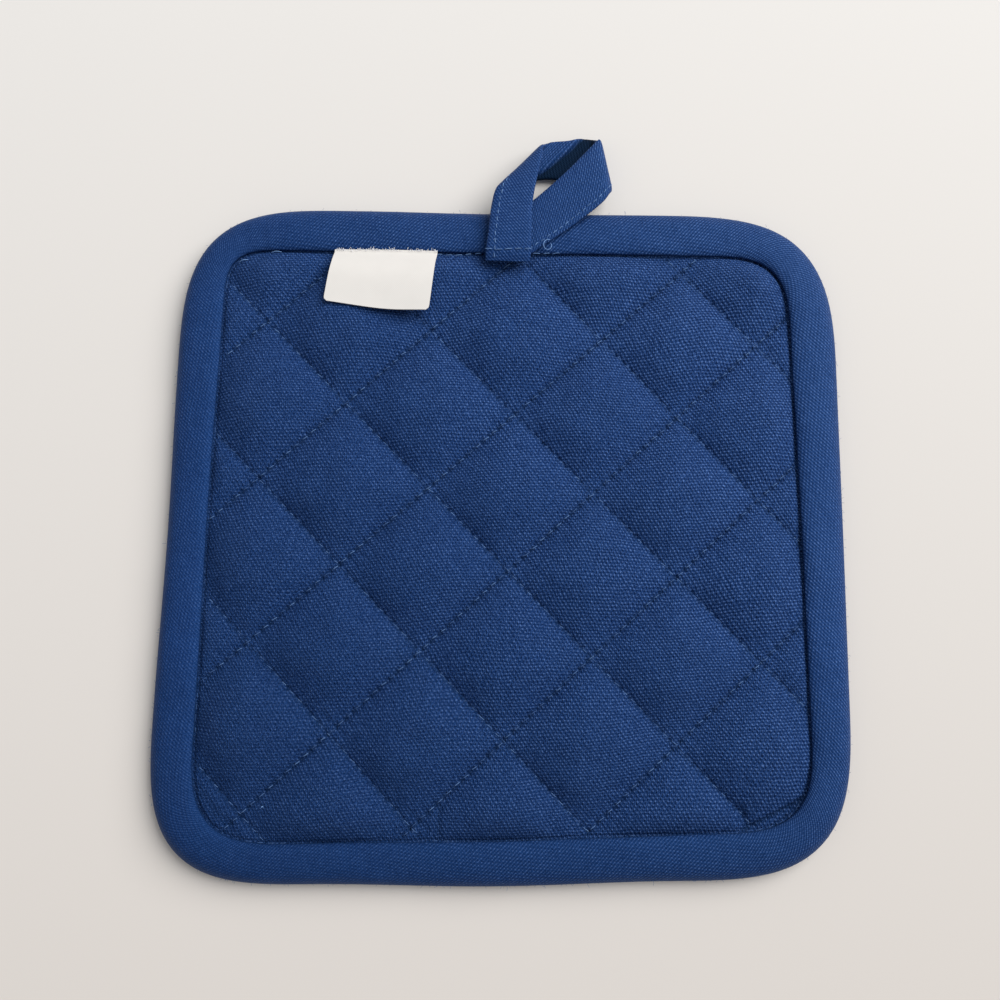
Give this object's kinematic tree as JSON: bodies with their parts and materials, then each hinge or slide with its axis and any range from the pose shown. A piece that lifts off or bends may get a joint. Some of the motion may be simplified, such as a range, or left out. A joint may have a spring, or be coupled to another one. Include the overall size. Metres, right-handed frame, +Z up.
{
  "type": "quilted pot holder",
  "caption": "Square quilted cotton pot holder in dark blue, edge-bound, with a folded hanging loop at the middle of its top side and a blank white label.",
  "frame": {"origin": "on the floor, under the middle of the bounding box of pad and loop", "axes": "+Z up out of the pad's face, +Y towards the hanging loop, +X to the right seen from above"},
  "size_m": [0.2008, 0.2272, 0.0117],
  "materials": {
    "quilted_cotton": "matte",
    "binding_cotton": "matte",
    "loop_tape": "matte",
    "label_tape": "matte"
  },
  "bodies": {
    "root": {"quilted_pad": "quilted_cotton", "edge_binding": "binding_cotton", "hanging_loop": "loop_tape", "care_label": "label_tape"}
  },
  "joints": []
}
